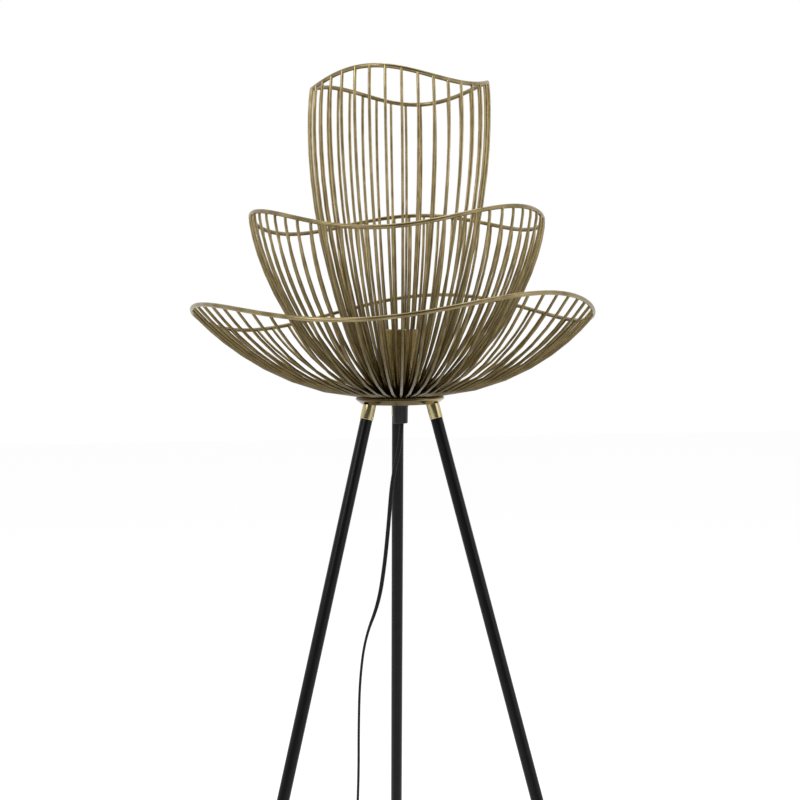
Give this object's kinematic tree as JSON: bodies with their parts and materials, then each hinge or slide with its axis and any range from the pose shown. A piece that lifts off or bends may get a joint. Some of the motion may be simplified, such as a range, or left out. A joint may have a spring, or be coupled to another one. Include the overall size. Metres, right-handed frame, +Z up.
{
  "type": "floor lamp",
  "caption": "Floor lamp with nested, flaring cages of bent brass wire round an open lampholder, on a shallow brass pan and a splayed black tube tripod, with a flat lead, foot switch and plug.",
  "frame": {"origin": "on the floor, in the middle of the footprint of the lamp without its lead and foot switch", "axes": "+Z up, -Y the front as pictured, +X the right seen from the front; the lamp's upright axis stands 37 mm in front of the origin"},
  "size_m": [0.5966, 0.6107, 1.4535],
  "materials": {
    "pan_brass": "polished, lacquered",
    "wire_brass": "aged satin",
    "cup_brass": "satin",
    "plated_steel": "zinc plated",
    "black_legs": "satin black powder coat",
    "foot_rubber": "matt",
    "black_plastic": "fine matt",
    "holder_plastic": "phenolic, semi-matt",
    "ceramic": "glazed ceramic",
    "contact_brass": "bright",
    "lead_cover": "flexible matt cover"
  },
  "bodies": {
    "lamp": {"base_pan": "pan_brass", "centre_contact": "contact_brass", "cord_coil": "lead_cover", "cord_drop": "lead_cover", "cord_end": "lead_cover", "cord_gland": "black_plastic", "cord_tail": "lead_cover", "cup_nut": "plated_steel", "cup_washer": "plated_steel", "ferrule_front_left": "pan_brass", "ferrule_front_right": "pan_brass", "ferrule_rear": "pan_brass", "holder_base": "holder_plastic", "holder_core": "ceramic", "holder_cup": "cup_brass", "holder_shell": "holder_plastic", "leg_front_left": "black_legs", "leg_front_right": "black_legs", "leg_inserts": "plated_steel", "leg_rear": "black_legs", "leg_studs": "plated_steel", "low_cage_foot": "wire_brass", "low_cage_ribs": "wire_brass", "low_cage_rim": "wire_brass", "middle_cage_foot": "wire_brass", "middle_cage_ribs": "wire_brass", "middle_cage_rim": "wire_brass", "pan_nut": "plated_steel", "plug_body": "black_plastic", "plug_pins": "contact_brass", "plug_tail": "black_plastic", "rubber_feet": "foot_rubber", "screw_shell": "contact_brass", "side_contact": "contact_brass", "switch_base": "black_plastic", "switch_block": "black_plastic", "switch_cover": "black_plastic", "switch_grommets": "black_plastic", "switch_screws": "plated_steel", "terminal_screws": "plated_steel", "threaded_nipple": "plated_steel", "top_cage_foot": "wire_brass", "top_cage_ribs": "wire_brass", "top_cage_rim": "wire_brass"},
    "button": {"switch_button": "black_plastic"}
  },
  "joints": [
    {"name": "button_press", "type": "slide", "parent": "lamp", "child": "button", "axis": [0, 0, 1], "range_m": [-0.003, 0], "stiffness_N_per_m": 600, "springref_m": 0.0005}
  ]
}
